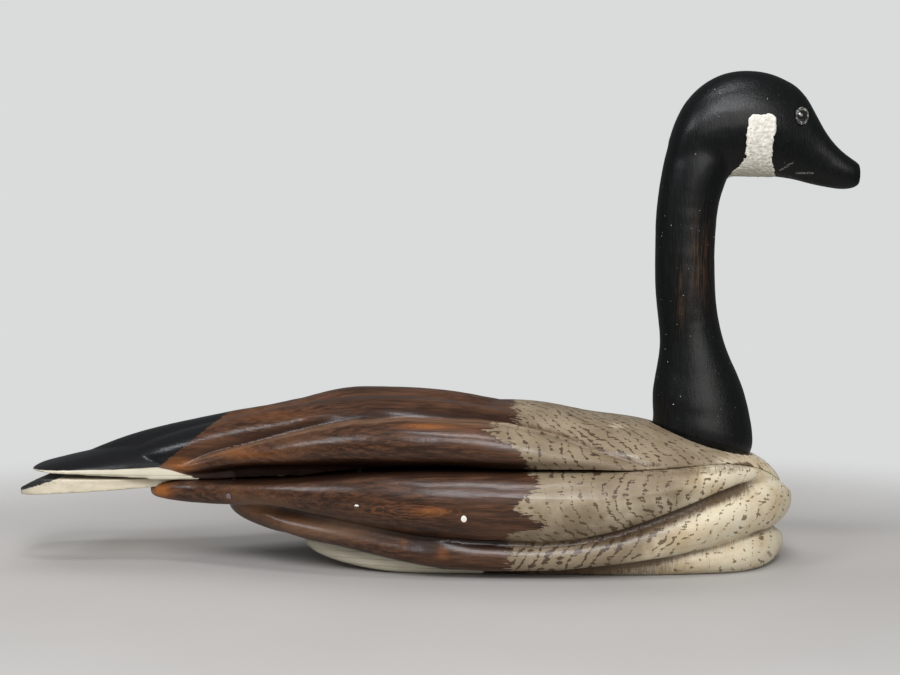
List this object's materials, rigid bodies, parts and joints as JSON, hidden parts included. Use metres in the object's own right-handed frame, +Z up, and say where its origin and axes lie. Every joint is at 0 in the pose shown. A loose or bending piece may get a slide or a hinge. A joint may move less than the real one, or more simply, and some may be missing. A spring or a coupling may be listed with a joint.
{
  "type": "carved wooden goose decoy",
  "caption": "Life-size carved and painted wooden Canada goose decoy with folded wings cut into a lobed two-part body and a separate black head and neck that turns and lifts off.",
  "frame": {"origin": "on the ground, under the middle of the overall box", "axes": "+X towards the bill, +Y to the bird's left, +Z up"},
  "size_m": [0.608, 0.2, 0.353],
  "materials": {
    "body_paint": "carved wood under worn brown stain and varnish, with beige and cream paint and dark feather ticks on the front",
    "tail_paint": "cream painted wood with a black tip",
    "head_paint": "satin black paint on carved wood with a thick cream chin patch, rubbed through to brown wood on the neck",
    "bare_wood": "bare birch dowel",
    "eye_glass": "dark polished glass",
    "eye_rim": "chipped silvery paint on putty",
    "nail_steel": "dull bare steel",
    "putty": "dull off-white filler"
  },
  "bodies": {
    "body": {"back_block": "body_paint", "breast_block": "body_paint", "lower_tail_board": "tail_paint", "seam_dowels": "bare_wood", "tail_dowels": "bare_wood", "seam_nails": "nail_steel", "nail_putty": "putty"},
    "peg": {"neck_dowel": "bare_wood"},
    "head": {"head_and_neck": "head_paint", "eye_left": "eye_glass", "eye_right": "eye_glass", "eye_ring_left": "eye_rim", "eye_ring_right": "eye_rim"}
  },
  "joints": [
    {"name": "neck_lift", "type": "slide", "parent": "body", "child": "peg", "axis": [0.2588, 0, 0.9659], "range_m": [0, 0.06]},
    {"name": "neck_swivel", "type": "hinge", "parent": "peg", "child": "head", "pos_m": [0.19, 0, 0.0826], "axis": [0.2588, 0, 0.9659], "continuous": true}
  ]
}
